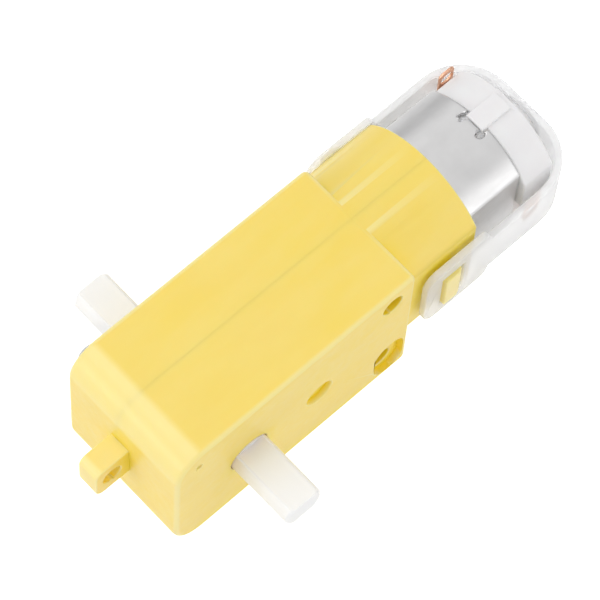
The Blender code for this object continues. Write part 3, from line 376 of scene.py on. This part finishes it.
def end_room(edge):
    """The length of the shortest edge that turns off at either end of this one."""
    best = FAR
    for vertex in edge.verts:
        direction = (edge.other_vert(vertex).co - vertex.co).normalized()
        for other in vertex.link_edges:
            leg = other.other_vert(vertex).co - vertex.co
            if other is not edge and leg.normalized().dot(direction) > STRAIGHT_ON:
                best = min(best, leg.length)
    return best


def welded(node):
    """The node's solid as one welded bmesh with whole flat faces."""
    shape = bmesh.new()
    shape.from_mesh(frame["nodes"][node].data)
    bmesh.ops.remove_doubles(shape, verts=shape.verts, dist=WELD)
    bmesh.ops.dissolve_limit(shape, angle_limit=COPLANAR, verts=shape.verts, edges=shape.edges)
    return shape


def on_parting(vertex):
    """Whether a vertex lies in the plane where the two shells meet."""
    return abs(vertex.co.y - MOTOR_Y) < SEAM_REACH


def behind_tab(vertex):
    """Whether a vertex of the left shell lies where its tab's back meets the right shell."""
    return abs(vertex.co.x - FRONT_X) < TAB_REACH and vertex.co.y < MOTOR_Y


def close_seam(shape):
    """Brings a shell's mating faces nearly against the other shell; returns their vertices."""
    found = set()
    for vertex in shape.verts:
        if on_parting(vertex):
            vertex.co.y = MOTOR_Y + math.copysign(SEAM, vertex.co.y - MOTOR_Y)
            found.add(vertex)
        elif behind_tab(vertex) and vertex.co.x < FRONT_X - SEAM:
            vertex.co.x = FRONT_X - SEAM
            found.add(vertex)
    return found


def runs_across(edge):
    """Whether an edge leaves the direction of the output shaft."""
    run = edge.verts[1].co - edge.verts[0].co
    return abs(run.y) < ALONG_SHAFT * run.length


def weigh_edges(shape, width, parting, lengthwise):
    """Writes how much of the width each outer edge has room for, and none on the parting plane."""
    weight = shape.edges.layers.float.new("bevel_weight_edge")
    for edge in shape.edges:
        if not edge.is_convex or edge.calc_face_angle(0) < SHARP:
            continue
        if all(v in parting for v in edge.verts) or (lengthwise and runs_across(edge)):
            continue
        room = min(clearance(edge) / FACE_ROOM, end_room(edge) / END_ROOM) / width
        if room > LEAST_ROOM:
            edge[weight] = min(1.0, room)


def mark_curved(mesh):
    """Stores in "curved" how tightly the surface turns outwards, and 0 beside a wide flat; the
    yellow material lays its painted highlight by it.
    """
    shape = bmesh.new()
    shape.from_mesh(mesh)
    curved = shape.verts.layers.float.new("curved")
    mating = {face for face in shape.faces if all(on_parting(v) for v in face.verts)}
    for vertex in shape.verts:
        faces = set(vertex.link_faces) - mating
        if any(face.calc_area() > WIDE_FLAT for face in faces):
            continue
        for edge in vertex.link_edges:
            if edge.is_convex and not mating.intersection(edge.link_faces):
                first, second = edge.link_faces
                spacing = (first.calc_center_median() - second.calc_center_median()).length
                turn = edge.calc_face_angle(0) / (spacing / MM)
                share = min(1.0, max(0.0, (turn - CURVE_START) / CURVE_SPAN))
                vertex[curved] = max(vertex[curved], share)
    shape.to_mesh(mesh)
    shape.free()


def refined(node):
    """The node's solid with eased edges and smooth round walls, standing for it."""
    width = EASE.get(node, PLAIN_EASE) * MM
    shape = welded(node)
    parting = close_seam(shape) if node in SEAMED else set()
    weigh_edges(shape, width, parting, node in LENGTHWISE)
    mesh = bpy.data.meshes.new(node + "_look")
    shape.to_mesh(mesh)
    shape.free()
    piece = bpy.data.objects.new(node + "_look", mesh)
    scene.collection.objects.link(piece)
    ease = piece.modifiers.new("ease", "BEVEL")
    ease.width = width
    ease.segments = EASE_SEGMENTS
    ease.limit_method = "WEIGHT"
    ease.use_clamp_overlap = False
    ease.miter_outer = "MITER_ARC"
    graph = bpy.context.evaluated_depsgraph_get()
    eased = bpy.data.meshes.new_from_object(piece.evaluated_get(graph), depsgraph=graph)
    piece.modifiers.clear()
    piece.data = eased
    eased.name = node + "_look"
    mark_curved(eased)
    eased.shade_smooth()
    eased.set_sharp_from_angle(angle=SHARP)
    even = piece.modifiers.new("even", "WEIGHTED_NORMAL")
    even.keep_sharp = True
    eased.materials.clear()
    eased.materials.append(LOOKS.get(node) or MATERIALS[SLOT_OF[node]])
    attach(piece, body_of(node))
    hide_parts(node)


for node in frame["nodes"]:
    refined(node)

# ---------------------------------------------------------------- stage, light and camera
FLOOR_HALF = 1.5
FLOOR_DROP = 0.2 * MM
FLOOR_GLOW = (0.5, 1.0)  # as a light, and as the camera sees it
ZENITH = 0.97
HORIZON = 0.38
LIGHT_AIM = Vector((0, 0, 10 * MM))
LIGHT_DISTANCE = 0.45
CAMERA_PLACE = (-0.1378, -0.1241, 0.4107)
CAMERA_TURN = (24.769, -2.169, -42.747)


def paper():
    """Paper whose glow brings the floor to the plain white of the world behind it."""
    made = Shader("paper", (0.5, 0.5, 0.5), 0.9)
    grain = made.noise(per_mm=0.02, detail=2.0)
    made.paint(made.blend(grain, (0.49, 0.49, 0.49), (0.51, 0.51, 0.51)))
    made.bsdf.inputs["Emission Color"].default_value = (1, 1, 1, 1)
    seen = made.node("LightPath").outputs["Is Camera Ray"]
    glow = made.spread(seen, *FLOOR_GLOW, start=0, end=1)
    made.link(glow, made.bsdf.inputs["Emission Strength"])
    return made.material


def studio():
    """A world that is plain white to the camera and, as a light, brightest at the zenith."""
    world = bpy.data.worlds.new("studio")
    world.use_nodes = True
    tree = world.node_tree
    sky = tree.nodes["Background"]
    coordinates = tree.nodes.new("ShaderNodeTexCoord")
    axes = tree.nodes.new("ShaderNodeSeparateXYZ")
    height = tree.nodes.new("ShaderNodeMapRange")
    height.inputs["To Min"].default_value = HORIZON
    height.inputs["To Max"].default_value = ZENITH
    tree.links.new(coordinates.outputs["Generated"], axes.inputs[0])
    tree.links.new(axes.outputs["Z"], height.inputs["Value"])
    tree.links.new(height.outputs["Result"], sky.inputs["Strength"])
    white = tree.nodes.new("ShaderNodeBackground")
    rays = tree.nodes.new("ShaderNodeLightPath")
    choose = tree.nodes.new("ShaderNodeMixShader")
    for background in (sky, white):
        background.inputs["Color"].default_value = (1, 1, 1, 1)
    tree.links.new(rays.outputs["Is Camera Ray"], choose.inputs[0])
    tree.links.new(sky.outputs[0], choose.inputs[1])
    tree.links.new(white.outputs[0], choose.inputs[2])
    tree.links.new(choose.outputs[0], tree.nodes["World Output"].inputs["Surface"])
    return world


def softbox(name, azimuth, elevation, size, radiance):
    lamp = bpy.data.lights.new(name, "AREA")
    lamp.shape = "RECTANGLE"
    lamp.size, lamp.size_y = size
    lamp.energy = radiance * math.pi * size[0] * size[1]
    holder = bpy.data.objects.new(name, lamp)
    a, e = math.radians(azimuth), math.radians(elevation)
    back = Vector((math.sin(a) * math.cos(e), -math.cos(a) * math.cos(e), math.sin(e)))
    holder.location = LIGHT_AIM + back * LIGHT_DISTANCE
    holder.rotation_mode = "QUATERNION"
    holder.rotation_quaternion = back.to_track_quat("Z", "Y")
    scene.collection.objects.link(holder)


floor_shape = bmesh.new()
bmesh.ops.create_grid(floor_shape, x_segments=1, y_segments=1, size=FLOOR_HALF)
floor_mesh = bpy.data.meshes.new("floor")
floor_shape.to_mesh(floor_mesh)
floor_shape.free()
floor = bpy.data.objects.new("floor", floor_mesh)
floor.location.z = -FLOOR_DROP
scene.collection.objects.link(floor)
floor_mesh.materials.append(paper())

scene.world = studio()

softbox("key", azimuth=-135, elevation=62, size=(0.25, 0.25), radiance=1.7)
softbox("right_strip", azimuth=22, elevation=14, size=(0.22, 0.3), radiance=1.35)
softbox("left_strip", azimuth=155, elevation=36, size=(0.1, 0.2), radiance=0.7)
softbox("front_strip", azimuth=-107, elevation=18, size=(0.2, 0.16), radiance=2.9)

scene.view_settings.view_transform = "Standard"
scene.view_settings.look = "None"

camera_data = bpy.data.cameras.new("camera")
camera_data.sensor_width = 36
camera_data.lens = 225
camera_data.clip_start = 0.01
camera_data.clip_end = 10
camera = bpy.data.objects.new("camera", camera_data)
camera.location = CAMERA_PLACE
camera.rotation_euler = [math.radians(angle) for angle in CAMERA_TURN]
scene.collection.objects.link(camera)
scene.camera = camera

bpy.context.view_layer.update()
